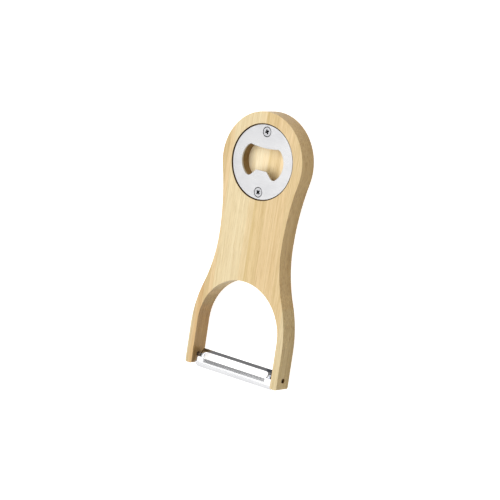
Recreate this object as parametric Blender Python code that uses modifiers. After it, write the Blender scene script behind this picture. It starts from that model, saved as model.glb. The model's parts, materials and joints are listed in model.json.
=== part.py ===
"""Bamboo bottle opener with a swivel peeler blade.

A flat bamboo board is the handle. Its round head carries an inset steel opener plate over a blind
pocket, held by two countersunk screws. Its other end is a fork, and a slotted peeler blade swivels
between the prong tips on two short steel pins.

X runs across the board along the blade's axis, Y along the board towards the head, and Z out of the
front face. The origin is on the flat back face, under the centre of the opener plate.
"""

import math

import bmesh
import bpy
from mathutils import Matrix, Vector

MM = 0.001

# ---------------------------------------------------------------- driving dimensions (metres)
FIT_GAP = 0.3 * MM  # between pieces that touch or sit in each other
CUT_OVERRUN = 1.0 * MM  # how far a cutter runs past the face it opens

BOARD_THICKNESS = 10.0 * MM
HEAD_RADIUS = 26.7 * MM
WAIST_HALF_WIDTH = 21.3 * MM
WAIST_Y = -42.0 * MM
FLARE_RADIUS = 78.0 * MM  # hollow curve from the waist towards the fork
FORK_HALF_WIDTH = 31.75 * MM
FORK_STRAIGHT_Y = -96.0 * MM  # below this the prongs' outer sides are parallel
PRONG_WIDTH = 4.35 * MM
ARCH_Y = -92.0 * MM  # centre of the round arch inside the fork
TIP_Y = -116.4 * MM
TIP_CORNER_RADIUS = 1.0 * MM
BOARD_EDGE_EASE = 0.7 * MM

PLATE_RADIUS = 20.0 * MM
PLATE_THICKNESS = 1.2 * MM
PLATE_SET_BELOW = 0.45 * MM  # the plate's face below the board's face
PLATE_EDGE_EASE = 0.2 * MM
RECESS_CLEARANCE = 0.5 * MM  # around the plate's rim

MOUTH_SIDE_RADIUS = 10.1 * MM
MOUTH_SIDE_X = 3.85 * MM
MOUTH_SIDE_Y = 0.2 * MM
MOUTH_TOP_Y = 7.5 * MM  # lowest point of the bowed upper edge
MOUTH_TOP_BOW = 0.8 * MM
MOUTH_TOP_CORNER_X = 9.3 * MM
MOUTH_TOE_RADIUS = 2.8 * MM
MOUTH_TOE_Y = -8.3 * MM  # lowest point of the two toes
LIP_Y = -4.6 * MM  # top of the lip that hooks the cap
LIP_CORNER_RADIUS = 1.5 * MM
LIP_SLOPE = math.radians(45)
POCKET_DEPTH = 6.8 * MM  # below the board's face
POCKET_MARGIN = 0.4 * MM  # the pocket stands back behind the mouth's edge

SCREW_OFFSET = 16.2 * MM  # from the plate's centre, along the board
SCREW_SET_BELOW = 0.15 * MM  # the screw's face below the plate's face
SCREW_HEAD_RADIUS = 2.35 * MM
SCREW_SHANK_RADIUS = 1.2 * MM
SCREW_LENGTH = 7.5 * MM
SCREW_POINT = 2.0 * MM
RECESS_ARM_LENGTH = 1.35 * MM
RECESS_ARM_WIDTH = 0.6 * MM
RECESS_ARM_DEPTH = 0.9 * MM

PIVOT_FROM_TIP = 4.95 * MM
PIN_RADIUS = 0.95 * MM
PIN_RECESS = 1.0 * MM  # the pin's outer end below the prong's side
PIN_INSIDE_EAR = 0.5 * MM  # how far the pin reaches past the blade's ear
PIN_CHAMFER = 0.2 * MM

BLADE_TILT = math.radians(27.5)  # about the pins, face towards the head
BLADE_RADIUS = 7.5 * MM  # of the curved sheet's outer face
BLADE_FLAT_FROM = 1.4 * MM  # the sheet runs straight above this height
BLADE_SHEET = 0.7 * MM
BLADE_FACE_OFFSET = 2.0 * MM  # pin axis to the middle of the outer face
BLADE_END_CLEARANCE = 0.7 * MM  # between the blade's lower corners and the prongs
BLADE_BAR_EDGE = 3.7 * MM  # guard bar's free edge, from the slot's centre line
BLADE_FLANGE_TURN = math.radians(58.5)  # how far round its curve the cutting side goes
BLADE_CORNER_RADIUS = 2.4 * MM
SLOT_WIDTH = 3.8 * MM
SLOT_END_WEB = 2.4 * MM  # sheet left between the slot and each ear
GRIND_WIDTH = 2.0 * MM  # ground flat along the slot's lower side
CUTTING_EDGE = 0.15 * MM  # sheet left at the edge of the ground flat
EAR_SETBACK = 1.2 * MM  # ears stand in from the cutting side's corners
EAR_BEND_RADIUS = 2.1 * MM  # outside of the bend from the sheet into each ear
EAR_LOW = -1.9 * MM
EAR_HIGH = 3.5 * MM
EAR_REACH = 2.5 * MM  # behind the pin axis
EAR_CORNER_RADIUS = 1.2 * MM

# ---------------------------------------------------------------- derived places
PLATE_TOP = BOARD_THICKNESS - PLATE_SET_BELOW
PLATE_UNDER = PLATE_TOP - PLATE_THICKNESS
SCREW_TOP = PLATE_TOP - SCREW_SET_BELOW
RECESS_FLOOR = PLATE_UNDER - FIT_GAP
POCKET_FLOOR = BOARD_THICKNESS - POCKET_DEPTH
HEAD_AT_FLOOR = SCREW_HEAD_RADIUS - (SCREW_TOP - RECESS_FLOOR)  # the screw head's cone there
PILOT_RADIUS = max(SCREW_SHANK_RADIUS, HEAD_AT_FLOOR) + FIT_GAP
PRONG_INNER_X = FORK_HALF_WIDTH - PRONG_WIDTH
PIN_HOLE_RADIUS = PIN_RADIUS + FIT_GAP
PIVOT = Vector((0.0, TIP_Y + PIVOT_FROM_TIP, BOARD_THICKNESS / 2))
BLADE_HALF_LENGTH = PRONG_INNER_X - BLADE_END_CLEARANCE
EAR_OUTER_X = BLADE_HALF_LENGTH - EAR_SETBACK
EAR_INNER_X = EAR_OUTER_X - BLADE_SHEET
SLOT_HALF_LENGTH = EAR_INNER_X - SLOT_END_WEB
BLADE_CENTRE = BLADE_FACE_OFFSET - BLADE_RADIUS  # the curve's centre, along the blade's normal
BLADE_FLANGE_EDGE = BLADE_RADIUS * math.sin(BLADE_FLANGE_TURN)

MATERIALS = {
    "bamboo": ((0.72, 0.47, 0.22), 0.55, 0.0),
    "satin_steel": ((0.72, 0.72, 0.73), 0.32, 1.0),
    "screw_steel": ((0.55, 0.56, 0.58), 0.28, 1.0),
    "blade_steel": ((0.62, 0.63, 0.65), 0.22, 1.0),
    "pin_steel": ((0.40, 0.40, 0.41), 0.35, 1.0),
}


# ---------------------------------------------------------------- scene and materials
def clear_scene():
    for obj in list(bpy.data.objects):
        bpy.data.objects.remove(obj, do_unlink=True)


def new_collection(name):
    collection = bpy.data.collections.new(name)
    bpy.context.scene.collection.children.link(collection)
    return collection


clear_scene()
PARTS = new_collection("bottle_opener_peeler")
CUTTERS = new_collection("cutters")


def material(name):
    found = bpy.data.materials.get(name)
    if found:
        return found
    colour, roughness, metallic = MATERIALS[name]
    made = bpy.data.materials.new(name)
    made.use_nodes = True
    shader = made.node_tree.nodes["Principled BSDF"]
    shader.inputs["Base Color"].default_value = (*colour, 1.0)
    shader.inputs["Roughness"].default_value = roughness
    shader.inputs["Metallic"].default_value = metallic
    return made


def add_part(name, mesh, material_name):
    obj = bpy.data.objects.new(name, mesh)
    mesh.materials.clear()
    mesh.materials.append(material(material_name))
    PARTS.objects.link(obj)
    return obj


def add_cutter(name, mesh):
    obj = bpy.data.objects.new(name, mesh)
    obj.hide_render = True
    obj.display_type = "WIRE"
    CUTTERS.objects.link(obj)
    return obj


def shade_round(obj, angle=math.radians(35)):
    obj.data.shade_smooth()
    obj.data.set_sharp_from_angle(angle=angle)


# ---------------------------------------------------------------- outlines
def arc(centre, radius, start, end, steps):
    """Points of an arc, angles in radians, both ends included."""
    return [
        (
            centre[0] + radius * math.cos(start + (end - start) * i / steps),
            centre[1] + radius * math.sin(start + (end - start) * i / steps),
        )
        for i in range(steps + 1)
    ]


def mirrored(points):
    """A right-hand half outline from the top of the centre line, closed by its mirror image."""
    left = [(-x, y) for x, y in reversed(points) if abs(x) > 1e-7]
    return points + left


def rounded_corners(corners, steps=5):
    """A closed outline from (x, y, radius) corners, each rounded to its radius."""
    points = []
    count = len(corners)
    for i, (x, y, radius) in enumerate(corners):
        here = Vector((x, y))
        before = Vector(corners[i - 1][:2]) - here
        after = Vector(corners[(i + 1) % count][:2]) - here
        if radius <= 0:
            points.append((x, y))
            continue
        half = before.angle(after) / 2
        start = here + before.normalized() * radius / math.tan(half)
        end = here + after.normalized() * radius / math.tan(half)
        centre = here + (before.normalized() + after.normalized()).normalized() * (
            radius / math.sin(half)
        )
        first = start - centre
        turn = first.angle_signed(end - centre)
        for k in range(steps + 1):
            swing = Matrix.Rotation(-turn * k / steps, 2)
            points.append(tuple(centre + swing @ first))
    return points


def board_outline():
    """Head, hollow waist and fork with its arch, from tangent arcs."""
    # the upper waist arc touches the head's circle and the waist line
    drop = -WAIST_Y
    upper_radius = (WAIST_HALF_WIDTH**2 + drop**2 - HEAD_RADIUS**2) / (
        2 * (HEAD_RADIUS - WAIST_HALF_WIDTH)
    )
    upper_centre = (WAIST_HALF_WIDTH + upper_radius, WAIST_Y)
    join = math.atan2(WAIST_Y, upper_centre[0])
    # the fork's bulging arc touches the flare arc and the straight prong side
    fall = WAIST_Y - FORK_STRAIGHT_Y
    spread = FORK_HALF_WIDTH - WAIST_HALF_WIDTH
    bulge_radius = (spread**2 + fall**2) / (2 * spread) - FLARE_RADIUS
    flare_centre = (WAIST_HALF_WIDTH + FLARE_RADIUS, WAIST_Y)
    bulge_centre = (FORK_HALF_WIDTH - bulge_radius, FORK_STRAIGHT_Y)
    turn = math.atan2(flare_centre[1] - bulge_centre[1], flare_centre[0] - bulge_centre[0])
    right = arc((0, 0), HEAD_RADIUS, math.pi / 2, join, 44)
    right += arc(upper_centre, upper_radius, math.pi + join, math.pi, 7)[1:]
    right += arc(flare_centre, FLARE_RADIUS, math.pi, math.pi + turn, 10)[1:]
    right += arc(bulge_centre, bulge_radius, turn, 0.0, 10)[1:]
    tip = TIP_CORNER_RADIUS
    low = TIP_Y + tip
    right += arc((FORK_HALF_WIDTH - tip, low), tip, 0.0, -math.pi / 2, 4)
    right += arc((PRONG_INNER_X + tip, low), tip, -math.pi / 2, -math.pi, 4)
    right += arc((0, ARCH_Y), PRONG_INNER_X, 0.0, math.pi / 2, 30)
    return mirrored(right)


def mouth_outline():
    """The cap-lifter mouth: bowed upper edge, round sides, two toes and the lip between them."""
    side = (MOUTH_SIDE_X, MOUTH_SIDE_Y)
    bow_radius = (MOUTH_TOP_CORNER_X**2 + MOUTH_TOP_BOW**2) / (2 * MOUTH_TOP_BOW)
    bow_centre = (0.0, MOUTH_TOP_Y + bow_radius)
    bow_half = math.asin(MOUTH_TOP_CORNER_X / bow_radius)
    top = arc(bow_centre, bow_radius, -math.pi / 2, -math.pi / 2 + bow_half, 6)
    corner_y = MOUTH_TOP_Y + MOUTH_TOP_BOW
    side_start = math.asin((corner_y - MOUTH_SIDE_Y) / MOUTH_SIDE_RADIUS) - math.radians(6)
    toe_y = MOUTH_TOE_Y + MOUTH_TOE_RADIUS
    toe_reach = MOUTH_SIDE_RADIUS - MOUTH_TOE_RADIUS
    toe_turn = math.asin((toe_y - MOUTH_SIDE_Y) / toe_reach)
    toe_x = MOUTH_SIDE_X + toe_reach * math.cos(toe_turn)
    sides = arc(side, MOUTH_SIDE_RADIUS, side_start, toe_turn, 16)
    toe_end = -math.pi / 2 - LIP_SLOPE
    toe = arc((toe_x, toe_y), MOUTH_TOE_RADIUS, toe_turn, toe_end, 9)[1:]
    # the slope leaves the toe and meets the lip's top in a rounded corner
    rise = LIP_Y - toe[-1][1]
    corner_x = toe[-1][0] - rise / math.tan(LIP_SLOPE)
    tangent = LIP_CORNER_RADIUS * math.tan(LIP_SLOPE / 2)
    lip_centre = (corner_x - tangent, LIP_Y - LIP_CORNER_RADIUS)
    lip = arc(lip_centre, LIP_CORNER_RADIUS, math.pi / 2 - LIP_SLOPE, math.pi / 2, 4)
    return mirrored(top + sides + toe + lip)


def pocket_outline():
    """The pocket behind the mouth: the same round sides, running straight across under the lip."""
    radius = MOUTH_SIDE_RADIUS + POCKET_MARGIN
    top = MOUTH_TOP_Y + MOUTH_TOP_BOW + POCKET_MARGIN
    low = MOUTH_TOE_Y - POCKET_MARGIN
    start = math.asin((top - MOUTH_SIDE_Y) / radius)
    end = math.asin((low - MOUTH_SIDE_Y) / radius)
    return mirrored(arc((MOUTH_SIDE_X, MOUTH_SIDE_Y), radius, start, end, 18))


# ---------------------------------------------------------------- solids
def outline_mesh(name, points, thickness):
    """A flat outline as a filled 2D curve, extruded about its plane and turned into a mesh."""
    curve = bpy.data.curves.new(name, "CURVE")
    curve.dimensions = "2D"
    curve.fill_mode = "BOTH"
    curve.extrude = thickness / 2
    spline = curve.splines.new("POLY")
    spline.points.add(len(points) - 1)
    for point, (x, y) in zip(spline.points, points):
        point.co = (x, y, 0.0, 1.0)
    spline.use_cyclic_u = True
    shape = bpy.data.objects.new(name, curve)
    bpy.context.scene.collection.objects.link(shape)
    depsgraph = bpy.context.evaluated_depsgraph_get()
    mesh = bpy.data.meshes.new_from_object(shape.evaluated_get(depsgraph))
    bpy.data.objects.remove(shape, do_unlink=True)
    bpy.data.curves.remove(curve)
    mesh.name = name
    work = bmesh.new()
    work.from_mesh(mesh)
    bmesh.ops.remove_doubles(work, verts=work.verts, dist=1e-6)
    bmesh.ops.recalc_face_normals(work, faces=work.faces)
    work.to_mesh(mesh)
    work.free()
    return mesh


def placed(mesh, matrix):
    mesh.transform(matrix)
    return mesh


def cylinder_mesh(name, radius, depth, segments, radius_top=None):
    mesh = bpy.data.meshes.new(name)
    work = bmesh.new()
    bmesh.ops.create_cone(
        work,
        cap_ends=True,
        segments=segments,
        radius1=radius,
        radius2=radius if radius_top is None else radius_top,
        depth=depth,
    )
    work.to_mesh(mesh)
    work.free()
    return mesh


def box_mesh(name, size):
    mesh = bpy.data.meshes.new(name)
    work = bmesh.new()
    bmesh.ops.create_cube(work, size=1.0)
    bmesh.ops.scale(work, vec=size, verts=work.verts)
    work.to_mesh(mesh)
    work.free()
    return mesh


def boolean(obj, cutter, operation="DIFFERENCE"):
    modifier = obj.modifiers.new(f"{operation.lower()} {cutter.name}", "BOOLEAN")
    modifier.operation = operation
    modifier.solver = "EXACT"
    modifier.object = cutter


def ease_edges(obj, width, segments=2, angle=math.radians(60)):
    modifier = obj.modifiers.new("eased edges", "BEVEL")
    modifier.width = width
    modifier.segments = segments
    modifier.limit_method = "ANGLE"
    modifier.angle_limit = angle


def turned(name, profile, material_name, steps=32):
    """A solid of revolution about Z; the profile runs down its outer side in the XZ plane."""
    mesh = bpy.data.meshes.new(name)
    work = bmesh.new()
    verts = [work.verts.new((x, 0.0, z)) for x, z in profile]
    for a, b in zip(verts, verts[1:]):
        work.edges.new((a, b))
    work.to_mesh(mesh)
    work.free()
    obj = add_part(name, mesh, material_name)
    modifier = obj.modifiers.new("turn", "SCREW")
    modifier.axis = "Z"
    modifier.angle = 2 * math.pi
    modifier.steps = steps
    modifier.render_steps = steps
    modifier.use_merge_vertices = True
    modifier.merge_threshold = 0.000005
    modifier.use_smooth_shade = False
    return obj


def screw_places():
    return {"upper_plate_screw": SCREW_OFFSET, "lower_plate_screw": -SCREW_OFFSET}


# ---------------------------------------------------------------- the pieces
def make_handle():
    """The bamboo board with the plate's recess, the cap pocket, pilot holes and pin holes."""
    mesh = outline_mesh("handle_body", board_outline(), BOARD_THICKNESS)
    placed(mesh, Matrix.Translation((0, 0, BOARD_THICKNESS / 2)))
    handle = add_part("handle_body", mesh, "bamboo")
    ease_edges(handle, BOARD_EDGE_EASE)

    recess_depth = BOARD_THICKNESS - RECESS_FLOOR + CUT_OVERRUN
    recess = cylinder_mesh("recess", PLATE_RADIUS + RECESS_CLEARANCE, recess_depth, 72)
    placed(recess, Matrix.Translation((0, 0, RECESS_FLOOR + recess_depth / 2)))
    boolean(handle, add_cutter("recess_cutter", recess))

    pocket_height = BOARD_THICKNESS - POCKET_FLOOR + CUT_OVERRUN
    pocket = outline_mesh("pocket", pocket_outline(), pocket_height)
    placed(pocket, Matrix.Translation((0, 0, POCKET_FLOOR + pocket_height / 2)))
    boolean(handle, add_cutter("pocket_cutter", pocket))

    for name, y in screw_places().items():
        low = SCREW_TOP - SCREW_LENGTH - FIT_GAP
        height = BOARD_THICKNESS - low + CUT_OVERRUN
        pilot = cylinder_mesh("pilot", PILOT_RADIUS, height, 24)
        placed(pilot, Matrix.Translation((0, y, low + height / 2)))
        boolean(handle, add_cutter(f"{name}_pilot", pilot))

    for side in (-1, 1):
        length = PRONG_WIDTH + 2 * CUT_OVERRUN
        bore = cylinder_mesh("pin_bore", PIN_HOLE_RADIUS, length, 24)
        middle = Vector((side * (PRONG_INNER_X + PRONG_WIDTH / 2), PIVOT.y, PIVOT.z))
        placed(bore, Matrix.Translation(middle) @ Matrix.Rotation(math.pi / 2, 4, "Y"))
        boolean(handle, add_cutter(f"pin_bore_{'left' if side < 0 else 'right'}", bore))
    return handle


def make_plate():
    """The round steel plate with the mouth and two countersunk holes."""
    disc = cylinder_mesh("opener_plate", PLATE_RADIUS, PLATE_THICKNESS, 96)
    placed(disc, Matrix.Translation((0, 0, PLATE_UNDER + PLATE_THICKNESS / 2)))
    plate = add_part("opener_plate", disc, "satin_steel")
    ease_edges(plate, PLATE_EDGE_EASE, segments=1)

    depth = PLATE_THICKNESS + 2 * CUT_OVERRUN
    mouth = outline_mesh("mouth", mouth_outline(), depth)
    placed(mouth, Matrix.Translation((0, 0, PLATE_UNDER + PLATE_THICKNESS / 2)))
    boolean(plate, add_cutter("mouth_cutter", mouth))

    for name, y in screw_places().items():
        # a 90 degree countersink, as far from the screw's cone as the hole is from its shank
        narrow = SCREW_SHANK_RADIUS + FIT_GAP
        head_depth = SCREW_HEAD_RADIUS - SCREW_SHANK_RADIUS
        above = SCREW_SET_BELOW + CUT_OVERRUN
        wide = SCREW_HEAD_RADIUS + FIT_GAP + above
        tall = head_depth + above
        sink = cylinder_mesh("sink", narrow, tall, 40, radius_top=wide)
        placed(sink, Matrix.Translation((0, y, SCREW_TOP - head_depth + tall / 2)))
        boolean(plate, add_cutter(f"{name}_sink", sink))
        hole = cylinder_mesh("clear_hole", narrow, depth, 40)
        placed(hole, Matrix.Translation((0, y, PLATE_UNDER + PLATE_THICKNESS / 2)))
        boolean(plate, add_cutter(f"{name}_hole", hole))
    return plate


def make_screws():
    """Countersunk wood screws, just below the plate's face, each with a cross recess."""
    head_depth = SCREW_HEAD_RADIUS - SCREW_SHANK_RADIUS
    profile = [
        (0.0, 0.0),
        (SCREW_HEAD_RADIUS, 0.0),
        (SCREW_SHANK_RADIUS, -head_depth),
        (SCREW_SHANK_RADIUS, -(SCREW_LENGTH - SCREW_POINT)),
        (0.0, -SCREW_LENGTH),
    ]
    for name, y in screw_places().items():
        screw = turned(name, profile, "screw_steel")
        screw.location = (0, y, SCREW_TOP)
        for label, turn in (("along", 0.0), ("across", math.pi / 2)):
            depth = RECESS_ARM_DEPTH + CUT_OVERRUN
            arm = box_mesh("recess_arm", (2 * RECESS_ARM_LENGTH, RECESS_ARM_WIDTH, depth))
            placed(arm, Matrix.Translation((0, 0, depth / 2 - RECESS_ARM_DEPTH)))
            placed(arm, Matrix.Rotation(turn + math.radians(20), 4, "Z"))
            placed(arm, Matrix.Translation((0, y, SCREW_TOP)))
            boolean(screw, add_cutter(f"{name}_recess_{label}", arm))


def make_pins():
    """Two straight steel pins, pressed into the prongs, that the blade's ears turn on."""
    inner = EAR_INNER_X - PIN_INSIDE_EAR
    outer = FORK_HALF_WIDTH - PIN_RECESS
    length = outer - inner
    for name, side in (("left_pivot_pin", -1), ("right_pivot_pin", 1)):
        pin = add_part(name, cylinder_mesh(name, PIN_RADIUS, length, 28), "pin_steel")
        ease_edges(pin, PIN_CHAMFER, segments=1)
        pin.rotation_euler = (0.0, side * math.pi / 2, 0.0)
        pin.location = (side * (inner + outer) / 2, PIVOT.y, PIVOT.z)


def blade_frame():
    """An outline's X stays X, its Y becomes the blade's own height, its Z the blade's normal."""
    return Matrix.Translation(PIVOT) @ Matrix.Rotation(BLADE_TILT * -1, 4, "X")


def bend_cut():
    """What lies outside a bend's round, as (x, depth) points; its ends stand off the faces."""
    outside = 0.05 * MM
    middle = (EAR_OUTER_X - EAR_BEND_RADIUS + outside, outside - EAR_BEND_RADIUS)
    outline = arc(middle, EAR_BEND_RADIUS, 0.0, math.pi / 2, 8)
    outline += [(middle[0], CUT_OVERRUN), (EAR_OUTER_X + CUT_OVERRUN, CUT_OVERRUN)]
    return outline + [(EAR_OUTER_X + CUT_OVERRUN, middle[1])]


def bend_fill():
    """The metal inside the bend, from the middle of the sheet to the middle of the ear."""
    half = BLADE_SHEET / 2
    reach = EAR_BEND_RADIUS - half
    hollow = EAR_BEND_RADIUS - BLADE_SHEET
    corner = (EAR_OUTER_X - half, -half)
    middle = (EAR_OUTER_X - EAR_BEND_RADIUS, -EAR_BEND_RADIUS)
    inside = arc(middle, hollow, math.pi / 2, 0.0, 8)
    return [corner, (corner[0] - reach, -half), *inside, (corner[0], -half - reach)]


def swept(name, outline, path, side):
    """An (x, depth) outline carried along (point, facing) stations of the blade's section."""
    work = bmesh.new()
    rings = [
        [
            work.verts.new((side * x, point.x + facing.x * depth, point.y + facing.y * depth))
            for x, depth in outline
        ]
        for point, facing in path
    ]
    count = len(outline)
    for ring, following in zip(rings, rings[1:]):
        for i in range(count):
            j = (i + 1) % count
            work.faces.new((ring[i], ring[j], following[j], following[i]))
    work.faces.new(rings[0])
    work.faces.new(rings[-1])
    bmesh.ops.recalc_face_normals(work, faces=work.faces)
    mesh = bpy.data.meshes.new(name)
    work.to_mesh(mesh)
    work.free()
    return mesh


def make_blade():
    """A curved, slotted strip with an ear folded back at each end, drilled for its pin."""
    # the sheet in section: a band between two arcs that runs on straight into the guard bar
    centre = Vector((0.0, BLADE_CENTRE))
    inner_radius = BLADE_RADIUS - BLADE_SHEET
    quarter = math.pi / 2
    low = quarter + BLADE_FLANGE_TURN
    bend = quarter - math.asin(BLADE_FLAT_FROM / BLADE_RADIUS)
    up_bar = Vector((math.sin(bend), -math.cos(bend)))
    up_bar *= (BLADE_BAR_EDGE - BLADE_FLAT_FROM) / up_bar.x
    outer = arc(centre, BLADE_RADIUS, low, bend, 24)
    inner = arc(centre, inner_radius, bend, low, 24)
    bar_end = [tuple(Vector(outer[-1]) + up_bar), tuple(Vector(inner[0]) + up_bar)]
    band = outer + bar_end + inner
    # outline X is the blade's height and outline Y its normal, so it is stood along X
    stand = Matrix(((0, 0, 1, 0), (1, 0, 0, 0), (0, 1, 0, 0), (0, 0, 0, 1)))
    sheet = outline_mesh("peeler_blade", band, 2 * (BLADE_HALF_LENGTH + CUT_OVERRUN))
    placed(sheet, stand)
    blade = add_part("peeler_blade", sheet, "blade_steel")

    # flat pattern: wide cutting side with round corners, narrower at the ears
    shoulder = EAR_LOW + FIT_GAP
    corner = BLADE_CORNER_RADIUS
    long_x = BLADE_HALF_LENGTH
    deep = BLADE_FLANGE_EDGE + CUT_OVERRUN
    high_edge = BLADE_BAR_EDGE + CUT_OVERRUN
    foot = BLADE_FLANGE_EDGE
    pattern = rounded_corners(
        [
            (EAR_OUTER_X, high_edge, 0.0),
            (EAR_OUTER_X, shoulder, 0.0),
            (long_x, shoulder, corner * 0.6),
            (long_x, -foot, corner),
            (EAR_OUTER_X - corner, -deep, 0.0),
            (-(EAR_OUTER_X - corner), -deep, 0.0),
            (-long_x, -foot, corner),
            (-long_x, shoulder, corner * 0.6),
            (-EAR_OUTER_X, shoulder, 0.0),
            (-EAR_OUTER_X, high_edge, 0.0),
        ]
    )
    tall = 4 * BLADE_RADIUS
    boolean(blade, add_cutter("blade_pattern", outline_mesh("pattern", pattern, tall)), "INTERSECT")

    # ears: plates across the blade's ends, joined to the back of the sheet
    mid_radius = BLADE_RADIUS - BLADE_SHEET / 2
    foot_angle = quarter - math.asin(EAR_LOW / mid_radius)
    mid_sheet = arc(centre, mid_radius, foot_angle, bend, 6)
    last = Vector(mid_sheet[-1])
    mid_sheet.append(tuple(last + up_bar * (EAR_HIGH - last.x) / up_bar.x))
    ear_profile = rounded_corners(
        [(x, y, 0.0) for x, y in mid_sheet]
        + [(EAR_HIGH, -EAR_REACH, EAR_CORNER_RADIUS), (EAR_LOW, -EAR_REACH, EAR_CORNER_RADIUS)]
    )
    for label, side in (("left", -1), ("right", 1)):
        ear = placed(outline_mesh("ear", ear_profile, BLADE_SHEET), stand)
        middle_x = side * (EAR_INNER_X + BLADE_SHEET / 2)
        placed(ear, Matrix.Translation((middle_x, 0, 0)))
        boolean(blade, add_cutter(f"ear_{label}", ear), "UNION")

    # the bend into each ear, filled inside and rounded outside, from just above the shoulder
    start = quarter - math.asin((shoulder + 0.1 * MM) / BLADE_RADIUS)
    path = [
        (Vector(point), (Vector(point) - centre).normalized())
        for point in arc(centre, BLADE_RADIUS, start, bend, 8)
    ]
    last, facing = path[-1]
    for kind, outline, top in (
        ("UNION", bend_fill(), EAR_HIGH - EAR_CORNER_RADIUS),
        ("DIFFERENCE", bend_cut(), high_edge),
    ):
        along = [*path, (last + up_bar * (top - last.x) / up_bar.x, facing)]
        for label, side in (("left", -1), ("right", 1)):
            name = f"bend_{kind.lower()}_{label}"
            boolean(blade, add_cutter(name, swept(name, outline, along, side)), kind)

    end = SLOT_WIDTH / 2
    slot = arc((SLOT_HALF_LENGTH - end, 0), end, quarter, -quarter, 12)
    slot += arc((-(SLOT_HALF_LENGTH - end), 0), end, -quarter, -3 * quarter, 12)
    slot_mesh = placed(outline_mesh("slot", slot, tall), Matrix.Translation((0, 0, tall / 2)))
    boolean(blade, add_cutter("slot_cutter", slot_mesh))

    # the cutting edge: a flat ground on the outer face, from the sheet's full thickness to the slot
    edge = -end
    heel = edge - GRIND_WIDTH
    edge_at = Vector((edge, BLADE_CENTRE + math.sqrt(BLADE_RADIUS**2 - edge**2)))
    edge_at.y -= BLADE_SHEET - CUTTING_EDGE
    heel_at = Vector((heel, BLADE_CENTRE + math.sqrt(BLADE_RADIUS**2 - heel**2)))
    along = (heel_at - edge_at).normalized() * CUT_OVERRUN
    out = Vector((along.y, -along.x)) * 3
    wedge = [edge_at - along, heel_at + along, heel_at + along + out, edge_at - along + out]
    grind = outline_mesh("grind", [tuple(p) for p in wedge], 2 * (SLOT_HALF_LENGTH - end / 2))
    boolean(blade, add_cutter("grind_cutter", placed(grind, stand)))

    hole = cylinder_mesh("ear_hole", PIN_HOLE_RADIUS, 2 * BLADE_HALF_LENGTH, 28)
    placed(hole, Matrix.Rotation(quarter, 4, "Y"))
    boolean(blade, add_cutter("ear_hole_cutter", hole))

    swing = blade_frame()
    blade.matrix_world = swing
    for cutter in [m.object for m in blade.modifiers if m.type == "BOOLEAN"]:
        cutter.matrix_world = swing


make_handle()
make_plate()
make_screws()
make_pins()
make_blade()

for part in PARTS.objects:
    shade_round(part)
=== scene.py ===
# %% [markdown]
# # A bamboo bottle opener with a swivel peeler
#
# The tool is a flat bamboo board. Its round head carries an inset steel plate that lifts crown
# caps, and a slotted peeler blade swivels between the prongs at its other end. The sizes and the
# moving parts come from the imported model, which is loaded first and never changed. Everything made
# here only gives those pieces their finish: the grain, the brushed steel, the threads, the light.

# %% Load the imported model
import math

import bmesh
import bpy
from mathutils import Matrix, Vector
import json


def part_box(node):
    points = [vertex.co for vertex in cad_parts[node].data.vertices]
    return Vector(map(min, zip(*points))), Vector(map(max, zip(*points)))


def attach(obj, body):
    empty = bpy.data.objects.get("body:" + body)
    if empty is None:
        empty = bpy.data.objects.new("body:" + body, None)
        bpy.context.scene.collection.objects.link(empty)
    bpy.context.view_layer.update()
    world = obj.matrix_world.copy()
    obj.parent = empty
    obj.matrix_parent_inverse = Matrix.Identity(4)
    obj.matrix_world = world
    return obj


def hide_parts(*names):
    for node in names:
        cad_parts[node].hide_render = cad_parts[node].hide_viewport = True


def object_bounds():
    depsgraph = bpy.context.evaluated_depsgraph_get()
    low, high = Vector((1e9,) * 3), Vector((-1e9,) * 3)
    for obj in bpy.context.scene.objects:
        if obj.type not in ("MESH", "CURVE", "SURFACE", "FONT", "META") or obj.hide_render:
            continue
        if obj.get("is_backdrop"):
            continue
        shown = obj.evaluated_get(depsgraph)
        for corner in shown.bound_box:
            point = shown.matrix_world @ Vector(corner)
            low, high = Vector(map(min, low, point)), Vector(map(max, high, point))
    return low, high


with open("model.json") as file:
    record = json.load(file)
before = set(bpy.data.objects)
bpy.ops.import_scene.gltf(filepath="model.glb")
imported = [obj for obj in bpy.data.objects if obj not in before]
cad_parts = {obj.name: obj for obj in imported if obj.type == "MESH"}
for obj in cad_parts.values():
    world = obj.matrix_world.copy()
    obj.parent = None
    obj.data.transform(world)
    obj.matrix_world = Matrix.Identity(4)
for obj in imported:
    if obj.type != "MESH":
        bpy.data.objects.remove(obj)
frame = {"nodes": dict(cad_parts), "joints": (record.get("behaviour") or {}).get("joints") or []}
cad_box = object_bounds()
print("nodes:", sorted(frame["nodes"]))

# %% [markdown]
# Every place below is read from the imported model, so that a detail always sits where the part is.
# The board lies on its back: X runs across it, Y towards the head and Z out of the front face. The
# blade turns about the line through the two pins.

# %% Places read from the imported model
MM = 0.001

board_low, board_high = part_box("handle_body")
plate_low, plate_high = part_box("opener_plate")
blade_low, blade_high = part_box("peeler_blade")
plate_radius = (plate_high.x - plate_low.x) / 2
pivot = Vector(frame["joints"][0]["pos_m"])

print("board", [round(v / MM, 2) for v in board_high - board_low], "mm")
print("plate radius", round(plate_radius / MM, 2), "mm, face at", round(plate_high.z / MM, 2))
print("pivot", [round(v / MM, 2) for v in pivot], "mm")

# %% [markdown]
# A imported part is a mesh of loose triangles. That is right for measuring, but edges can't be eased
# on it. A working copy is merged into one skin and its flat areas are joined into single faces. A
# Bevel modifier then breaks the sharp edges, as a maker does with fine paper or a file, and
# Weighted Normal keeps the wide faces flat in the light beside their small round edges.


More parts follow.
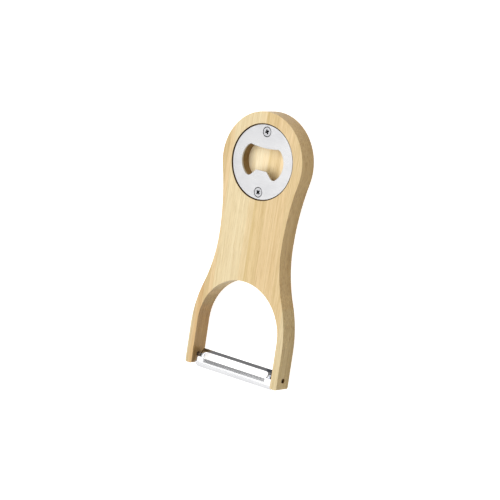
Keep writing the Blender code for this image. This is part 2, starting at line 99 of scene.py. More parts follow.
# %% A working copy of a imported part, with its edges broken
def eased_copy(node, name, width, angle=40, segments=2):
    mesh = frame["nodes"][node].data.copy()
    mesh.name = name
    work = bmesh.new()
    work.from_mesh(mesh)
    bmesh.ops.remove_doubles(work, verts=work.verts, dist=1e-6)
    bmesh.ops.dissolve_limit(
        work, angle_limit=math.radians(0.5), verts=work.verts, edges=work.edges
    )
    work.to_mesh(mesh)
    work.free()
    mesh.materials.clear()
    mesh.shade_smooth()
    piece = bpy.data.objects.new(name, mesh)
    bpy.context.scene.collection.objects.link(piece)
    bevel = piece.modifiers.new("broken edges", "BEVEL")
    bevel.width = width
    bevel.segments = segments
    bevel.limit_method = "ANGLE"
    bevel.angle_limit = math.radians(angle)
    bevel.use_clamp_overlap = True
    normals = piece.modifiers.new("flat faces stay flat", "WEIGHTED_NORMAL")
    normals.keep_sharp = True
    normals.weight = 90
    return plain_mesh(piece)


def plain_mesh(piece):
    """Turns what the modifiers make into the piece's own mesh and takes the modifiers off."""
    depsgraph = bpy.context.evaluated_depsgraph_get()
    made = bpy.data.meshes.new_from_object(
        piece.evaluated_get(depsgraph), preserve_all_data_layers=True, depsgraph=depsgraph
    )
    made.name = piece.name
    piece.modifiers.clear()
    piece.data = made
    report(piece)
    return piece


def report(piece):
    work = bmesh.new()
    work.from_mesh(piece.data)
    open_edges = sum(1 for edge in work.edges if len(edge.link_faces) != 2)
    volume = work.calc_volume(signed=True) / MM**3
    triangles = sum(len(face.verts) - 2 for face in work.faces)
    work.free()
    print(f"{piece.name}: {triangles} triangles, {volume:.1f} mm3, {open_edges} open edges")


# %% [markdown]
# A finish is a small graph of nodes. The next helper adds one node, fills its sockets and returns
# it, so that a recipe further down reads from top to bottom like the layers of the finish.


# %% A short way to add a node
def add(tree, kind, sockets=None, **settings):
    node = tree.nodes.new(kind)
    for key, value in settings.items():
        setattr(node, key, value)
    for key, value in (sockets or {}).items():
        if isinstance(value, bpy.types.NodeSocket):
            tree.links.new(value, node.inputs[key])
        else:
            node.inputs[key].default_value = value
    return node


def new_finish(name):
    made = bpy.data.materials.new(name)
    made.use_nodes = True
    tree = made.node_tree
    shader = tree.nodes["Principled BSDF"]
    return made, tree, shader


def maths(tree, operation, a, b=0.0, clamp=False):
    node = add(tree, "ShaderNodeMath", {0: a, 1: b}, operation=operation, use_clamp=clamp)
    return node.outputs[0]


def ranged(tree, value, low, high, to_low=0.0, to_high=1.0):
    node = add(
        tree,
        "ShaderNodeMapRange",
        {"Value": value, "From Min": low, "From Max": high, "To Min": to_low, "To Max": to_high},
    )
    return node.outputs["Result"]


def tinted(tree, colour, tint, amount):
    """Multiplies a colour by a tint, as far as amount says."""
    node = add(tree, "ShaderNodeMix", data_type="RGBA", blend_type="MULTIPLY")
    for index, value in ((0, amount), (6, colour), (7, tint)):
        if isinstance(value, bpy.types.NodeSocket):
            tree.links.new(value, node.inputs[index])
        else:
            node.inputs[index].default_value = value
    return node.outputs[2]


# %% [markdown]
# ## The bamboo
#
# Bamboo board is glued up from strips of the culm wall, planed and pressed side by side, so its
# face shows straight bands that differ a little in tone, with dead straight fibres and no rings.
# Each fibre bundle is a thin hard rod running the whole length of the strip. Where a cut runs along
# the rods they show as fine streaks, and where the outline crosses them their ends show as dots.
# One solid pattern gives both: it is stretched along Y and read from the Object coordinates, so
# every cut face shows what that cut would show. The strip tones are a colour ramp across the width.

# %% Tones of the glued strips, from the left prong to the right
STRIP_TONES = [
    # X of the strip's left side in mm, colour
    (-32.0, (0.71, 0.59, 0.37)),
    (-30.9, (0.63, 0.50, 0.29)),
    (-30.2, (0.73, 0.54, 0.30)),
    (-28.9, (0.69, 0.475, 0.23)),
    (-28.0, (0.665, 0.455, 0.22)),
    (-26.0, (0.675, 0.51, 0.265)),
    (-23.2, (0.79, 0.61, 0.355)),
    (-20.4, (0.81, 0.68, 0.43)),
    (-4.6, (0.805, 0.65, 0.39)),
    (-0.9, (0.705, 0.535, 0.265)),
    (1.0, (0.76, 0.585, 0.315)),
    (4.2, (0.715, 0.54, 0.28)),
    (7.2, (0.775, 0.59, 0.33)),
    (19.5, (0.755, 0.58, 0.32)),
    (27.9, (0.755, 0.63, 0.39)),
]
STRIP_BLUR = 0.25  # mm, how far a glue line blends
BOARD_SPAN = 64.0  # mm, the ramp's width


def strip_ramp(tree, across):
    """Colour by the distance across the board, in mm."""
    place = ranged(tree, across, -BOARD_SPAN / 2, BOARD_SPAN / 2)
    node = add(tree, "ShaderNodeValToRGB", {"Fac": place})
    ramp = node.color_ramp
    ramp.interpolation = "LINEAR"
    stops = []
    for i, (left, colour) in enumerate(STRIP_TONES):
        right = STRIP_TONES[i + 1][0] if i + 1 < len(STRIP_TONES) else BOARD_SPAN / 2
        stops.append((left + STRIP_BLUR, colour))
        stops.append((right - STRIP_BLUR, colour))
    ramp.elements[0].position = 0.0
    ramp.elements[0].color = (*stops[0][1], 1)
    ramp.elements[1].position = 1.0
    ramp.elements[1].color = (*stops[-1][1], 1)
    for x, colour in stops[1:-1]:
        element = ramp.elements.new((x + BOARD_SPAN / 2) / BOARD_SPAN)
        element.color = (*colour, 1)
    return node.outputs["Color"]


# %% Tints that the bamboo pattern multiplies the strip tones by
# painted shade: the side walls are made darker than the face
SIDE_WALL_SHADE = (0.56, 0.50, 0.37, 1)  # the side walls
WARM_STREAK = (0.94, 0.91, 0.85, 1)  # broad soft streaks
FINE_FIBRE = (0.89, 0.85, 0.77, 1)  # fibres
BUNDLE_END = (0.60, 0.46, 0.30, 1)  # cut fibre bundles
DARK_DASH = (0.90, 0.86, 0.76, 1)  # short dashes, the dark half
PALE_DASH = (1.09, 1.09, 1.10, 1)  # and the pale half
PALE_PITH = (1.30, 1.30, 1.22, 1)  # pith between the cut ends
# partly scorch, partly painted shade deep in the pocket
POCKET_WALL_SCORCH_AND_SHADE = (0.80, 0.68, 0.52, 1)  # the walls of the pocket
RECESS_WALL = (0.36, 0.25, 0.15, 1)  # the narrow wall round the plate
# painted shade inside the pin holes
PIN_HOLE_SHADE = (0.30, 0.19, 0.10, 1)  # the pin holes
# partly the paler fresh cut, mostly painted light that makes up for the shade in the deep pocket
POCKET_FLOOR_PALE_AND_PAINTED_LIGHT = (1.24, 1.30, 1.45, 1)  # the pocket's floor
RING_PITCH = 0.55  # mm, between the cutter's rings on the pocket's floor
BAMBOO_BUMP = 0.08 * MM
print(len(STRIP_TONES), "glued strips")


# %% The bamboo finish
def bamboo_finish():
    made, tree, shader = new_finish("oiled_bamboo")
    coords = add(tree, "ShaderNodeTexCoord").outputs["Object"]
    in_mm = add(
        tree, "ShaderNodeVectorMath", {0: coords, "Scale": 1000.0}, operation="SCALE"
    ).outputs[0]
    place = add(tree, "ShaderNodeSeparateXYZ", {0: in_mm}).outputs
    facing = add(
        tree, "ShaderNodeSeparateXYZ", {0: add(tree, "ShaderNodeNewGeometry").outputs["Normal"]}
    ).outputs
    on_side = ranged(tree, maths(tree, "ABSOLUTE", facing["Z"]), 0.9, 0.3)

    def along_grain(scale_x, scale_y, scale_z):
        return add(
            tree, "ShaderNodeMapping", {"Vector": in_mm, "Scale": (scale_x, scale_y, scale_z)}
        ).outputs[0]

    # broad soft streaks a couple of millimetres wide
    streaks = add(
        tree,
        "ShaderNodeTexNoise",
        {"Vector": along_grain(0.55, 0.007, 0.3), "Scale": 1.0, "Detail": 3.0, "Roughness": 0.6},
    ).outputs["Fac"]
    # the fine fibres between them
    fibres = add(
        tree,
        "ShaderNodeTexNoise",
        {"Vector": along_grain(1.2, 0.012, 1.1), "Scale": 1.0, "Detail": 5.0, "Roughness": 0.7},
    ).outputs["Fac"]
    # bundle ends: round in the cut across the grain, long dashes along it
    bundle = add(
        tree,
        "ShaderNodeTexVoronoi",
        {"Vector": along_grain(1.2, 0.03, 1.2), "Scale": 1.0, "Randomness": 0.85},
    ).outputs["Distance"]
    rods = ranged(tree, bundle, 0.34, 0.16)
    # short hair-fine dashes, where the plane has cut across single bundles
    dashes = add(
        tree,
        "ShaderNodeTexNoise",
        {"Vector": along_grain(1.7, 0.10, 1.7), "Scale": 1.0, "Detail": 3.0, "Roughness": 0.75},
    ).outputs["Fac"]
    # the pale pith between the cut ends
    pith = add(
        tree,
        "ShaderNodeTexVoronoi",
        {"Vector": along_grain(0.9, 0.55, 0.9), "Scale": 1.0, "Randomness": 1.0},
    ).outputs["Distance"]

    # the side walls are painted darker than the sanded face: painted shade, as less light falls on
    # them
    colour = strip_ramp(tree, place["X"])
    colour = tinted(tree, colour, SIDE_WALL_SHADE, on_side)
    warm = ranged(tree, streaks, 0.35, 0.68)
    colour = tinted(tree, colour, WARM_STREAK, warm)
    fine = ranged(tree, fibres, 0.40, 0.66)
    colour = tinted(tree, colour, FINE_FIBRE, fine)
    rod_share = maths(tree, "MULTIPLY", rods, ranged(tree, on_side, 0, 1, 0.22, 0.65))
    colour = tinted(tree, colour, BUNDLE_END, rod_share)
    colour = tinted(tree, colour, DARK_DASH, ranged(tree, dashes, 0.52, 0.66))
    colour = tinted(tree, colour, PALE_DASH, ranged(tree, dashes, 0.47, 0.36))
    by_fork = ranged(tree, place["Y"], -38.0, -62.0, 0.15, 1.0)
    pale_share = maths(tree, "MULTIPLY", on_side, by_fork)
    pale_share = maths(tree, "MULTIPLY", pale_share, ranged(tree, pith, 0.30, 0.12))
    colour = tinted(tree, colour, PALE_PITH, pale_share)

    # the walls of the pocket are darker: partly scorch from the router bit, partly painted shade
    # deep in the pocket
    round_head = add(
        tree, "ShaderNodeVectorMath", {0: in_mm, 1: (1.0, 1.0, 0.0)}, operation="MULTIPLY"
    ).outputs[0]
    from_centre = add(tree, "ShaderNodeVectorMath", {0: round_head}, operation="LENGTH").outputs[
        "Value"
    ]
    in_pocket = maths(
        tree,
        "MULTIPLY",
        maths(tree, "LESS_THAN", from_centre, plate_radius / MM - 2.0),
        on_side,
    )
    colour = tinted(tree, colour, POCKET_WALL_SCORCH_AND_SHADE, in_pocket)

    # the narrow wall round the plate, just below the face, is made darker still
    beyond_plate = maths(tree, "GREATER_THAN", from_centre, plate_radius / MM - 1.0)
    by_plate = ranged(tree, from_centre, plate_radius / MM + 0.75, plate_radius / MM + 0.6)
    below_face = ranged(tree, place["Z"], board_high.z / MM - 0.1, board_high.z / MM - 0.25)
    in_recess = maths(tree, "MULTIPLY", maths(tree, "MULTIPLY", beyond_plate, by_plate), below_face)
    colour = tinted(tree, colour, RECESS_WALL, in_recess)

    # the walls of the pin holes are painted dark: painted shade inside the holes
    from_pin = add(
        tree,
        "ShaderNodeVectorMath",
        {
            0: add(
                tree, "ShaderNodeVectorMath", {0: in_mm, 1: (0.0, 1.0, 1.0)}, operation="MULTIPLY"
            ).outputs[0],
            1: (0.0, pivot.y / MM, pivot.z / MM),
        },
        operation="DISTANCE",
    ).outputs["Value"]
    in_hole = ranged(tree, from_pin, 1.42, 1.27)
    colour = tinted(tree, colour, PIN_HOLE_SHADE, in_hole)

    # rings left by the cutter on the pocket's floor
    rings = maths(tree, "SINE", maths(tree, "MULTIPLY", from_centre, 2 * math.pi / RING_PITCH))
    milled = maths(tree, "LESS_THAN", place["Z"], plate_low.z / MM)
    milled = maths(tree, "MULTIPLY", milled, maths(tree, "GREATER_THAN", facing["Z"], 0.9))
    # the pocket's floor is made much paler: partly the fresh cut, mostly painted light that makes up
    # for the shade in the pocket
    colour = tinted(tree, colour, POCKET_FLOOR_PALE_AND_PAINTED_LIGHT, milled)
    ring_height = maths(tree, "MULTIPLY", rings, maths(tree, "MULTIPLY", milled, 0.25))

    height = maths(tree, "ADD", maths(tree, "MULTIPLY", fibres, -0.8), ring_height)
    height = maths(tree, "SUBTRACT", height, maths(tree, "MULTIPLY", rod_share, 1.2))
    bump = add(
        tree, "ShaderNodeBump", {"Height": height, "Strength": 0.35, "Distance": BAMBOO_BUMP}
    ).outputs[0]
    tree.links.new(colour, shader.inputs["Base Color"])
    tree.links.new(ranged(tree, fibres, 0.3, 0.75, 0.40, 0.58), shader.inputs["Roughness"])
    tree.links.new(bump, shader.inputs["Normal"])
    shader.inputs["Specular IOR Level"].default_value = 0.35
    return made


bamboo = bamboo_finish()
board = eased_copy("handle_body", "bamboo_board", 0.12 * MM, angle=55)
board.data.materials.append(bamboo)

# %% [markdown]
# ## The steel finishes
#
# Sheet for small kitchen tools comes satin: a belt has drawn one set of very fine lines across it.
# A metal shader with a broad highlight does most of that, and the lines are a noise stretched hard
# in one direction, which moves the roughness and a very low bump. A few faint smears keep the
# sheet from looking like plastic. The same recipe with other numbers makes the blade, which is
# polished, the plated screws, and the drawn wire of the pins.


# %% Where shade is painted: below a height, within a radius of the screws' axes
screw_low, screw_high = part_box("upper_plate_screw")
screw_offset = (screw_low.y + screw_high.y) / 2


def round_the_screws(tree, below, within):
    coords = add(tree, "ShaderNodeTexCoord").outputs["Object"]
    at = add(tree, "ShaderNodeSeparateXYZ", {0: coords}).outputs
    away = maths(tree, "SUBTRACT", maths(tree, "ABSOLUTE", at["Y"]), screw_offset)
    flat = add(tree, "ShaderNodeCombineXYZ", {"X": at["X"], "Y": away}).outputs[0]
    radius = add(tree, "ShaderNodeVectorMath", {0: flat}, operation="LENGTH").outputs["Value"]
    near = maths(tree, "LESS_THAN", radius, within)
    return maths(tree, "MULTIPLY", near, ranged(tree, at["Z"], below, below - 0.1 * MM))


# %% A metal finish with drawn lines
LINE_TINT = (0.90, 0.90, 0.91, 1)
SMEAR_TINT = (0.93, 0.93, 0.94, 1)
# painted shade in the gap round the screw heads and in their cross recesses
SCREW_HOLLOW_SHADE = (0.16, 0.16, 0.17, 1)


def drawn_metal(
    name, tone, roughness, lines=(40.0, 1200.0, 1200.0), depth=0.01, smears=0.06, painted_shade=None
):
    made, tree, shader = new_finish(name)
    coords = add(tree, "ShaderNodeTexCoord").outputs["Object"]
    line_place = add(tree, "ShaderNodeMapping", {"Vector": coords, "Scale": lines}).outputs[0]
    drawn = add(
        tree,
        "ShaderNodeTexNoise",
        {"Vector": line_place, "Scale": 4.0, "Detail": 4.0, "Roughness": 0.7},
    ).outputs["Fac"]
    cloud = add(
        tree, "ShaderNodeTexNoise", {"Vector": coords, "Scale": 90.0, "Detail": 3.0}
    ).outputs["Fac"]
    base = (*tone, 1)
    colour = tinted(tree, base, LINE_TINT, ranged(tree, drawn, 0.4, 0.75))
    colour = tinted(tree, colour, SMEAR_TINT, ranged(tree, cloud, 0.45, 0.75))
    if painted_shade:
        # painted shade near the screws, below the given height
        colour = tinted(tree, colour, SCREW_HOLLOW_SHADE, round_the_screws(tree, *painted_shade))
    rough = maths(
        tree,
        "ADD",
        ranged(tree, drawn, 0.3, 0.7, roughness - 0.05, roughness + 0.05),
        ranged(tree, cloud, 0.4, 0.7, 0.0, smears),
    )
    bump = add(
        tree, "ShaderNodeBump", {"Height": drawn, "Strength": 0.25, "Distance": depth * MM}
    ).outputs[0]
    tree.links.new(colour, shader.inputs["Base Color"])
    tree.links.new(rough, shader.inputs["Roughness"])
    tree.links.new(bump, shader.inputs["Normal"])
    shader.inputs["Metallic"].default_value = 1.0
    return made


plate_steel = drawn_metal(
    "satin_plate_steel",
    (0.48, 0.48, 0.485),
    0.30,
    # painted shade in the countersinks round the screws
    painted_shade=(plate_high.z - 0.12 * MM, 3.0 * MM),
)
blade_steel = drawn_metal(
    "polished_blade_steel", (0.85, 0.85, 0.86), 0.12, (30.0, 900.0, 900.0), depth=0.002, smears=0.02
)
screw_steel = drawn_metal(
    "plated_screw_steel",
    (0.42, 0.42, 0.43),
    0.24,
    (600.0, 600.0, 80.0),
    # painted shade in the cross recesses
    painted_shade=(screw_high.z - 0.04 * MM, 1.7 * MM),
)
pin_steel = drawn_metal("drawn_pin_steel", (0.42, 0.42, 0.43), 0.30, (60.0, 900.0, 900.0))
print("steel finishes:", [m.name for m in (plate_steel, blade_steel, screw_steel, pin_steel)])

# %% [markdown]
# ## The opener plate
#
# The plate is punched from sheet, so it has a bright broken edge around the rim, the mouth and the
# screw holes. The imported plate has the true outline, and the eased copy adds that edge.

# %% The opener plate
plate = eased_copy("opener_plate", "cap_lifter_plate", 0.10 * MM, angle=35)
plate.data.materials.append(plate_steel)

# %% [markdown]
# ## The screws
#
# A countersunk wood screw is a body of revolution with a spiral ridge and a cross-shaped recess. It
# could be lathed, but it follows a rule and there are two of them, so Geometry Nodes suit it. A
# straight curve carries the body's radius from point to point and is swept with a circle. A spiral
# curve, swept with a small triangle, is the thread. Two tapered bars are cut out for the driver.


# %% Helpers for building a node group
def new_group(name, sizes):
    group = bpy.data.node_groups.new(name, "GeometryNodeTree")
    group.interface.new_socket("Geometry", in_out="OUTPUT", socket_type="NodeSocketGeometry")
    for label, value in sizes.items():
        socket = group.interface.new_socket(label, in_out="INPUT", socket_type="NodeSocketFloat")
        socket.default_value = value
    group.interface.new_socket("Finish", in_out="INPUT", socket_type="NodeSocketMaterial")
    return group, add(group, "NodeGroupInput").outputs, add(group, "NodeGroupOutput")


def made_by_group(name, group, sizes, finish, place):
    """Runs a node group on an empty mesh, keeps its result and moves it to its place."""
    piece = bpy.data.objects.new(name, bpy.data.meshes.new(name))
    bpy.context.scene.collection.objects.link(piece)
    modifier = piece.modifiers.new(group.name, "NODES")
    modifier.node_group = group
    keys = {item.name: item.identifier for item in group.interface.items_tree}
    for label, value in {**sizes, "Finish": finish}.items():
        modifier[keys[label]] = value
    plain_mesh(piece)
    piece.data.transform(place)
    return piece


def finished(group, output, geometry, finish):
    """Ends a tree: instances made real, finish set."""
    real = add(group, "GeometryNodeRealizeInstances", {"Geometry": geometry}).outputs[0]
    coated = add(group, "GeometryNodeSetMaterial", {"Geometry": real, "Material": finish})
    group.links.new(coated.outputs[0], output.inputs[0])


def vector(group, x=0.0, y=0.0, z=0.0):
    return add(group, "ShaderNodeCombineXYZ", {"X": x, "Y": y, "Z": z}).outputs[0]


# %% The turned body: a straight curve whose radius follows the depth
def turned_body(group, length, radius_at, rings=64, sides=40):
    line = add(
        group,
        "GeometryNodeCurvePrimitiveLine",
        {"Start": vector(group), "End": vector(group, z=maths(group, "MULTIPLY", length, -1.0))},
    ).outputs[0]
    line = add(group, "GeometryNodeResampleCurve", {"Curve": line, "Count": rings}).outputs[0]
    height = add(
        group,
        "ShaderNodeSeparateXYZ",
        {0: add(group, "GeometryNodeInputPosition").outputs[0]},
    ).outputs["Z"]
    depth = maths(group, "MULTIPLY", height, -1.0)
    line = add(
        group, "GeometryNodeSetCurveRadius", {"Curve": line, "Radius": radius_at(depth)}
    ).outputs[0]
    ring = add(group, "GeometryNodeCurvePrimitiveCircle", {"Resolution": sides, "Radius": 1.0})
    swept = add(
        group,
        "GeometryNodeCurveToMesh",
        {"Curve": line, "Profile Curve": ring.outputs[0], "Fill Caps": True},
    )
    scale = swept.inputs.get("Scale")
    if scale is not None:
        radius = add(group, "GeometryNodeInputRadius").outputs[0]
        group.links.new(radius, scale)
    return swept.outputs[0]


# %% The screw's node group
SCREW_TIP_RADIUS = 0.00005  # the point is a very small flat, so that it stays closed


def screw_group(sizes):
    group, given, output = new_group("countersunk_screw", sizes)

    def radius_at(depth):
        cone = maths(group, "SUBTRACT", given["Head Radius"], depth)
        shank = maths(group, "MAXIMUM", cone, given["Shank Radius"])
        left = maths(group, "SUBTRACT", given["Length"], depth)
        point = maths(
            group,
            "MULTIPLY",
            maths(group, "DIVIDE", left, given["Point Length"]),
            given["Shank Radius"],
        )
        return maths(group, "MAXIMUM", maths(group, "MINIMUM", shank, point), SCREW_TIP_RADIUS)

    body = turned_body(group, given["Length"], radius_at)

    # the thread: a spiral from under the head to the point, swept with a triangle
    head_depth = maths(group, "SUBTRACT", given["Head Radius"], given["Shank Radius"])
    run = maths(
        group,
        "SUBTRACT",
        maths(group, "SUBTRACT", given["Length"], head_depth),
        given["Point Length"],
    )
    spiral = add(
        group,
        "GeometryNodeCurveSpiral",
        {
            "Resolution": 28,
            "Rotations": maths(group, "DIVIDE", run, given["Thread Pitch"]),
            "Start Radius": given["Shank Radius"],
            "End Radius": given["Shank Radius"],
            "Height": run,
            "Reverse": False,
        },
    ).outputs[0]
    low = maths(group, "ADD", run, head_depth)
    spiral = add(
        group,
        "GeometryNodeTransform",
        {
            "Geometry": spiral,
            "Translation": vector(group, z=maths(group, "MULTIPLY", low, -1.0)),
        },
    ).outputs[0]
    ridge = add(
        group,
        "GeometryNodeCurvePrimitiveCircle",
        {"Resolution": 3, "Radius": given["Thread Height"]},
    )
    thread = add(
        group,
        "GeometryNodeCurveToMesh",
        {"Curve": spiral, "Profile Curve": ridge.outputs[0], "Fill Caps": True},
    ).outputs[0]

    # the driver's recess: two bars at a right angle that narrow towards the bottom
    def bar(turn):
        depth = given["Recess Depth"]
        block = add(
            group,
            "GeometryNodeMeshCube",
            {
                "Size": vector(
                    group,
                    maths(group, "MULTIPLY", given["Recess Reach"], 2.0),
                    given["Recess Width"],
                    maths(group, "MULTIPLY", depth, 2.0),
                )
            },
        ).outputs[0]
        at = add(
            group,
            "ShaderNodeSeparateXYZ",
            {0: add(group, "GeometryNodeInputPosition").outputs[0]},
        ).outputs
        share = maths(group, "DIVIDE", at["Z"], depth)
        taper = add(
            group,
            "ShaderNodeMapRange",
            {"Value": share, "From Min": -1.0, "From Max": 1.0, "To Min": 0.3, "To Max": 1.7},
        ).outputs["Result"]
        block = add(
            group,
            "GeometryNodeSetPosition",
            {
                "Geometry": block,
                "Position": vector(
                    group,
                    maths(group, "MULTIPLY", at["X"], taper),
                    maths(group, "MULTIPLY", at["Y"], taper),
                    at["Z"],
                ),
            },
        ).outputs[0]
        return add(
            group,
            "GeometryNodeTransform",
            {"Geometry": block, "Rotation": (0.0, 0.0, turn)},
        ).outputs[0]

    cut = add(group, "GeometryNodeMeshBoolean", {"Mesh 1": body}, operation="DIFFERENCE")
    group.links.new(bar(0.0), cut.inputs["Mesh 2"])
    group.links.new(bar(math.pi / 2), cut.inputs["Mesh 2"])
    whole = add(group, "GeometryNodeJoinGeometry")
    group.links.new(cut.outputs["Mesh"], whole.inputs[0])
    group.links.new(thread, whole.inputs[0])
    smooth = add(
        group, "GeometryNodeSetShadeSmooth", {"Geometry": whole.outputs[0], "Shade Smooth": True}
    ).outputs[0]
    finished(group, output, smooth, given["Finish"])
    return group


# %% The two screws, each turned as the driver left it
SCREW_SIZES = {
    "Head Radius": (screw_high.x - screw_low.x) / 2,
    "Shank Radius": 1.15 * MM,
    "Length": screw_high.z - screw_low.z,
    "Point Length": 2.0 * MM,
    "Thread Pitch": 0.8 * MM,
    "Thread Height": 0.22 * MM,
    "Recess Reach": 1.3 * MM,
    "Recess Width": 0.95 * MM,
    "Recess Depth": 1.2 * MM,
}
SCREW_TURNS = {"upper_plate_screw": math.radians(25), "lower_plate_screw": math.radians(52)}
screw_tree = screw_group(SCREW_SIZES)
screws = {}
for node, turn in SCREW_TURNS.items():
    low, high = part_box(node)
    head_top = Vector(((low.x + high.x) / 2, (low.y + high.y) / 2, high.z))
    place = Matrix.Translation(head_top) @ Matrix.Rotation(turn, 4, "Z")
    name = "cross_" + node
    screws[node] = made_by_group(name, screw_tree, SCREW_SIZES, screw_steel, place)
    screws[node].data.set_sharp_from_angle(angle=math.radians(35))

# %% [markdown]
# ## The pivot pins
#
# Each pin is a short piece of wire with its ends rounded over so that it can be pressed into the
# prong. It is the same idea as the screw's body: a straight curve, swept with a circle, with a
# radius that falls away at both ends.


# %% The pins
def pin_group(sizes):
    group, given, output = new_group("rounded_pin", sizes)

    def radius_at(depth):
        left = maths(group, "SUBTRACT", given["Length"], depth)
        to_end = maths(group, "MINIMUM", depth, left)
        share = maths(group, "DIVIDE", to_end, given["End Round"], clamp=True)
        back = maths(group, "SUBTRACT", 1.0, share)
        curve = maths(
            group, "SQRT", maths(group, "SUBTRACT", 1.0, maths(group, "MULTIPLY", back, back))
        )
        grown = add(
            group,
            "ShaderNodeMapRange",
            {"Value": curve, "To Min": 0.55, "To Max": 1.0},
        ).outputs["Result"]
        return maths(group, "MULTIPLY", given["Radius"], grown)

    body = turned_body(group, given["Length"], radius_at, rings=80, sides=32)
    smooth = add(
        group, "GeometryNodeSetShadeSmooth", {"Geometry": body, "Shade Smooth": True}
    ).outputs[0]
    finished(group, output, smooth, given["Finish"])
    return group


pins = {}
pin_tree = None
for node in ("left_pivot_pin", "right_pivot_pin"):
    low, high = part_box(node)
    sizes = {
        "Radius": (high.y - low.y) / 2,
        "Length": high.x - low.x,
        "End Round": 0.35 * MM,
    }
    pin_tree = pin_tree or pin_group(sizes)
    start = Vector((high.x, (low.y + high.y) / 2, (low.z + high.z) / 2))
    place = Matrix.Translation(start) @ Matrix.Rotation(math.pi / 2, 4, "Y")
    pins[node] = made_by_group("wire_" + node, pin_tree, sizes, pin_steel, place)
    pins[node].data.set_sharp_from_angle(angle=math.radians(50))

# %% [markdown]
# ## The peeler blade
#
# The blade is one strip of stainless steel, pressed to a shallow curve, slotted, ground along one
# side of the slot and folded back at its ends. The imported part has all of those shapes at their
# true size, so the visual piece is its eased copy: the broken edges catch the thin lines of light
# that make pressed steel look like metal and not like card.

# %% [markdown]
# Polished ears would mirror the pale wood beside them and look like wood themselves. A tint on the
# ears and on the ends of the guard bar darkens those reflections, so that the ends read as steel.
# The shape and the gloss stay the same there.

# %% Darker ears and bar ends
EAR_BEND_STARTS = blade_high.x - 3.3 * MM
EAR_TINT = (0.34, 0.36, 0.41, 1)
BLADE_TILT = math.radians(27.5)
SHOULDER = -1.7 * MM  # the ears' lower edge, along the blade's height
GUARD_BAR = 1.8 * MM  # the guard bar's lower edge
DARK_FADE = 4.5 * MM  # how far the darkening runs from the bend into the guard bar


def darken_the_ears(finish):
    tree = finish.node_tree
    shader = tree.nodes["Principled BSDF"]
    coords = add(tree, "ShaderNodeTexCoord").outputs["Object"]
    from_pin = add(
        tree, "ShaderNodeVectorMath", {0: coords, 1: pivot}, operation="SUBTRACT"
    ).outputs[0]
    upright = add(
        tree,
        "ShaderNodeVectorMath",
        {0: from_pin, 1: (0.0, math.cos(BLADE_TILT), -math.sin(BLADE_TILT))},
        operation="DOT_PRODUCT",
    ).outputs["Value"]
    across = maths(tree, "ABSOLUTE", add(tree, "ShaderNodeSeparateXYZ", {0: from_pin}).outputs["X"])
    at_end = ranged(tree, across, EAR_BEND_STARTS, EAR_BEND_STARTS + 0.5 * MM)
    bar_end = ranged(tree, across, EAR_BEND_STARTS - DARK_FADE, EAR_BEND_STARTS - DARK_FADE / 2)
    bar_end = maths(tree, "MULTIPLY", bar_end, ranged(tree, upright, GUARD_BAR, GUARD_BAR * 1.1))
    at_end = maths(tree, "MAXIMUM", at_end, bar_end)
    darker = maths(tree, "MULTIPLY", at_end, ranged(tree, upright, SHOULDER, SHOULDER + 0.2 * MM))
    polished = shader.inputs["Base Color"].links[0].from_socket
    tree.links.new(
        tinted(tree, polished, EAR_TINT, darker), shader.inputs["Base Color"]
    )


# %% The blade
blade = eased_copy("peeler_blade", "slotted_peeler_blade", 0.05 * MM, angle=35)
blade.data.materials.append(blade_steel)
darken_the_ears(blade_steel)

# %% [markdown]
# ## Putting it together
#
# Every visual piece stands for one imported part and rides on that part's body, so the blade turns
# on its pins when the model is posed.

# %% Bodies and slots
visual_pieces = [
    (board, "handle_body", "handle", "bamboo"),
    (plate, "opener_plate", "handle", "satin_steel"),
    (screws["upper_plate_screw"], "upper_plate_screw", "handle", "screw_steel"),
    (screws["lower_plate_screw"], "lower_plate_screw", "handle", "screw_steel"),
    (pins["left_pivot_pin"], "left_pivot_pin", "handle", "pin_steel"),
    (pins["right_pivot_pin"], "right_pivot_pin", "handle", "pin_steel"),
    (blade, "peeler_blade", "blade", "blade_steel"),
]
for piece, node, body, slot in visual_pieces:
    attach(piece, body)
    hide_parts(node)
print(len(visual_pieces), "pieces ride")

# %% [markdown]
# ## Floor, light and camera
#
# The tool lies on a white sheet under three lights. A large box overhead does most for the wood and
# leaves the side of the board darker than its face. A smaller box on the left does most for the
# plate, which mirrors it, and the overhead box adds to it. A low card near the sheet brightens the
# face of the blade and little else. To see this, take one light away at a time and compare. The
# sheet glows a little, like a light table, so that its own white fills the shadows. The rest of the
# room is a dull grey, darker near the horizon, because polished steel only looks like steel when it
# has something dark to reflect.


# %% Floor
SHEET_HALF_WIDTH = 3.0
SHEET_BELOW = 0.05 * MM
SHEET_GLOW = 0.60


def flat_sheet(name, half, z):
    mesh = bpy.data.meshes.new(name)
    work = bmesh.new()
    bmesh.ops.create_grid(work, x_segments=1, y_segments=1, size=half)
    bmesh.ops.translate(work, vec=(0, 0, z), verts=work.verts)
    work.to_mesh(mesh)
    work.free()
    sheet = bpy.data.objects.new(name, mesh)
    bpy.context.scene.collection.objects.link(sheet)
    return sheet


floor = flat_sheet("white_sheet", SHEET_HALF_WIDTH, board_low.z - SHEET_BELOW)
floor_finish, floor_tree, floor_shader = new_finish("white_sheet_paper")
floor_shader.inputs["Base Color"].default_value = (0.92, 0.92, 0.92, 1)
floor_shader.inputs["Roughness"].default_value = 0.9
floor_shader.inputs["Specular IOR Level"].default_value = 0.0
floor_shader.inputs["Emission Color"].default_value = (1, 1, 1, 1)
floor_shader.inputs["Emission Strength"].default_value = SHEET_GLOW
floor.data.materials.append(floor_finish)
floor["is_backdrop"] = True
print("white sheet", 2 * SHEET_HALF_WIDTH, "m wide")


# %% Soft boxes
UPWARD = Vector((0.0, 0.0, 1.0))


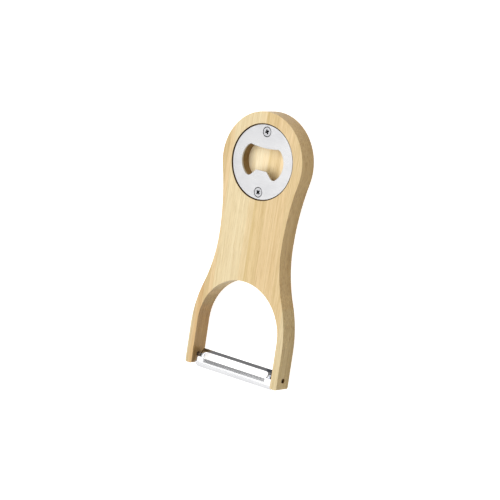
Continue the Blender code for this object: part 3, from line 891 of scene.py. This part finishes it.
def soft_box(name, towards, size, power, across=None):
    """A rectangle of light a little over a metre off; across is the way its width runs."""
    light = bpy.data.lights.new(name, "AREA")
    light.shape = "RECTANGLE"
    light.size, light.size_y = size
    light.energy = power
    lamp = bpy.data.objects.new(name, light)
    bpy.context.scene.collection.objects.link(lamp)
    facing = Vector(towards).normalized()
    side = across or UPWARD.cross(facing)
    side = (side - side.dot(facing) * facing).normalized()
    turned_to = Matrix((side, facing.cross(side), facing)).transposed().to_4x4()
    lamp.matrix_world = Matrix.Translation(LIT_POINT + facing * LIGHT_DISTANCE) @ turned_to
    return lamp


LIT_POINT = Vector((0.0, -0.045, board_high.z))
LIGHT_DISTANCE = 1.3
ACROSS_BOARD = Vector((1.0, 0.0, 0.0))
soft_box("overhead_box", (-0.10, 0.16, 1.0), (1.3, 1.9), 17.2, ACROSS_BOARD)
soft_box("left_box", (-0.50, -0.28, 0.82), (1.3, 0.70), 3.2)
soft_box("low_card", (-0.60, -0.74, 0.30), (0.98, 1.05), 2.6)

# %% The room
GREY_AT_HORIZON = 0.10
GREY_OVERHEAD = 0.32

world = bpy.data.worlds.new("room")
bpy.context.scene.world = world
world.use_nodes = True
room = world.node_tree
background = room.nodes["Background"]
direction = add(
    room, "ShaderNodeSeparateXYZ", {0: add(room, "ShaderNodeTexCoord").outputs["Generated"]}
).outputs["Z"]
tone = ranged(room, direction, 0.0, 0.8, GREY_AT_HORIZON, GREY_OVERHEAD)
room.links.new(
    add(room, "ShaderNodeCombineColor", {0: tone, 1: tone, 2: tone}).outputs[0],
    background.inputs["Color"],
)
print("room grey from", GREY_AT_HORIZON, "to", GREY_OVERHEAD)

# %% Camera
CAMERA_PLACE = Vector((0.709, 0.149, 0.931))
CAMERA_TARGET = Vector((0.0009, -0.0472, 0.010))
HEAD_UP = Vector((-0.2186, 0.975, -0.0396))  # what points up in the view
CAMERA_LENS = 160.3  # mm, on a 36 mm wide sensor

back = (CAMERA_PLACE - CAMERA_TARGET).normalized()
right = HEAD_UP.cross(back).normalized()
up = back.cross(right)
camera_data = bpy.data.cameras.new("camera")
camera_data.lens = CAMERA_LENS
camera_data.sensor_width = 36.0
camera = bpy.data.objects.new("camera", camera_data)
bpy.context.scene.collection.objects.link(camera)
turned_to = Matrix((right, up, back)).transposed().to_4x4()
camera.matrix_world = Matrix.Translation(CAMERA_PLACE) @ turned_to
bpy.context.scene.camera = camera
bpy.context.scene.view_settings.view_transform = "Standard"
print("camera", round((CAMERA_PLACE - CAMERA_TARGET).length, 3), "m from the tool")

# %% [markdown]
# Last, the box round the visual pieces is printed next to the imported model's box, so that the two
# can be read side by side.

# %% Print the two boxes
import json

visual_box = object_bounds()
sizes = {
    "cad_box": [list(corner) for corner in cad_box],
    "visual_box": [list(corner) for corner in visual_box],
}
print(sizes)
